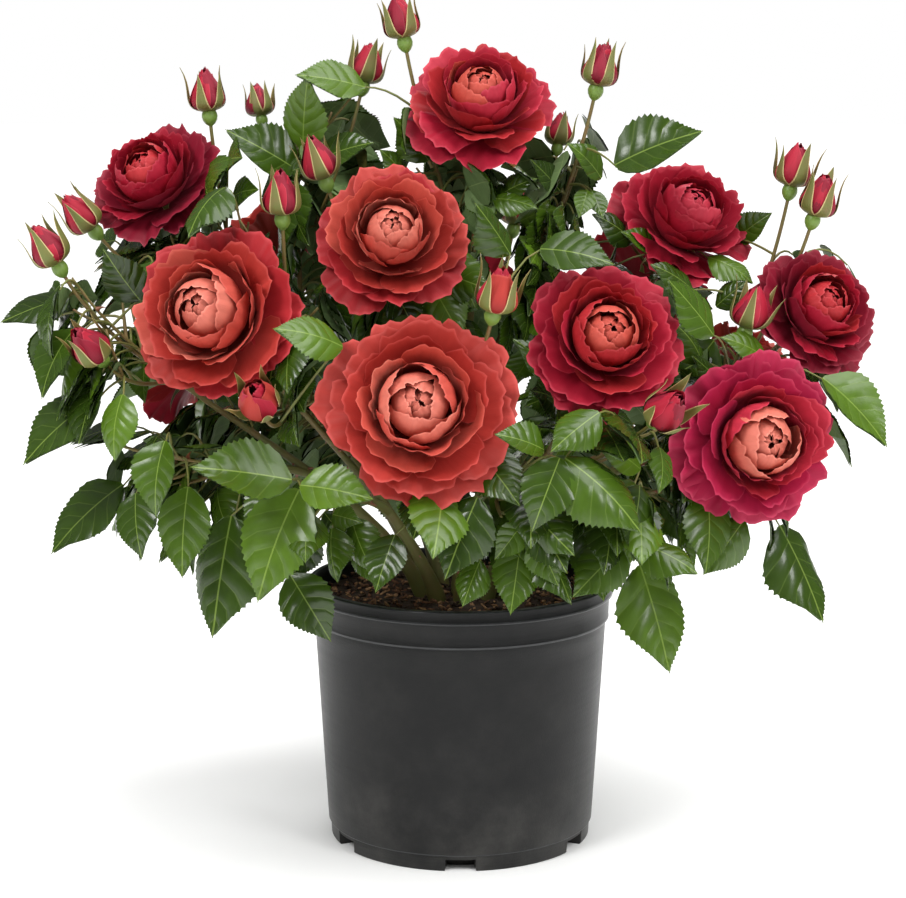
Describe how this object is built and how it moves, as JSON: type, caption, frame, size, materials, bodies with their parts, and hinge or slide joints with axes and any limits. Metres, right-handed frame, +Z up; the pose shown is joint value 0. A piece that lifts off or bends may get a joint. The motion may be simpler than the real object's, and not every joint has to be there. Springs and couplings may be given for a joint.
{
  "type": "potted rose bush",
  "caption": "Rose bush in full bloom in a round dark plastic nursery pot: branching canes with double crimson blooms, furled buds and glossy toothed leaves.",
  "frame": {"origin": "on the ground, at the middle of the pot's flat underside", "axes": "+Z up along the axis of the pot, -Y towards the side with the largest blooms, +X to the right seen from there"},
  "size_m": [0.5908, 0.403, 0.5737],
  "materials": {
    "pot_plastic": "moulded charcoal polypropylene with a soft sheen, brighter on the lip",
    "compost": "loose dark bark and peat compost, rough and dry on top",
    "bark": "smooth green to red-brown rose bark with thorns",
    "petals": "velvety crimson petals, coral towards the heart",
    "leaves": "glossy deep green upper faces, paler and duller beneath"
  },
  "bodies": {
    "root": {"bough_left_crown": "bark", "bough_low_right": "bark", "bough_middle": "bark", "bough_right_crown": "bark", "bough_side_left": "bark", "bough_side_right": "bark", "bough_skirt_back_left": "bark", "bough_skirt_back_right": "bark", "bough_skirt_front": "bark", "bough_skirt_front_left": "bark", "bough_skirt_front_right": "bark", "bough_skirt_left": "bark", "bough_skirt_right": "bark", "bough_upper_right": "bark", "cane_back": "bark", "cane_back_left": "bark", "cane_back_right": "bark", "cane_far_left": "bark", "cane_front": "bark", "cane_left_front": "bark", "cane_right": "bark", "cane_right_front": "bark", "cane_top": "bark", "cane_upper_left": "bark", "pot": "pot_plastic", "shoot_back": "petals", "shoot_back_left": "petals", "shoot_back_right": "petals", "shoot_far_left": "leaves", "shoot_front": "petals", "shoot_left_crown": "leaves", "shoot_left_front": "petals", "shoot_low_right": "petals", "shoot_middle": "petals", "shoot_right": "petals", "shoot_right_crown": "leaves", "shoot_right_front": "petals", "shoot_side_left": "petals", "shoot_side_right": "petals", "shoot_skirt_back_left": "leaves", "shoot_skirt_back_right": "leaves", "shoot_skirt_front": "leaves", "shoot_skirt_front_left": "leaves", "shoot_skirt_front_right": "leaves", "shoot_skirt_left": "leaves", "shoot_skirt_right": "leaves", "shoot_top": "petals", "shoot_upper_left": "petals", "shoot_upper_right": "petals", "soil": "compost"}
  },
  "joints": []
}
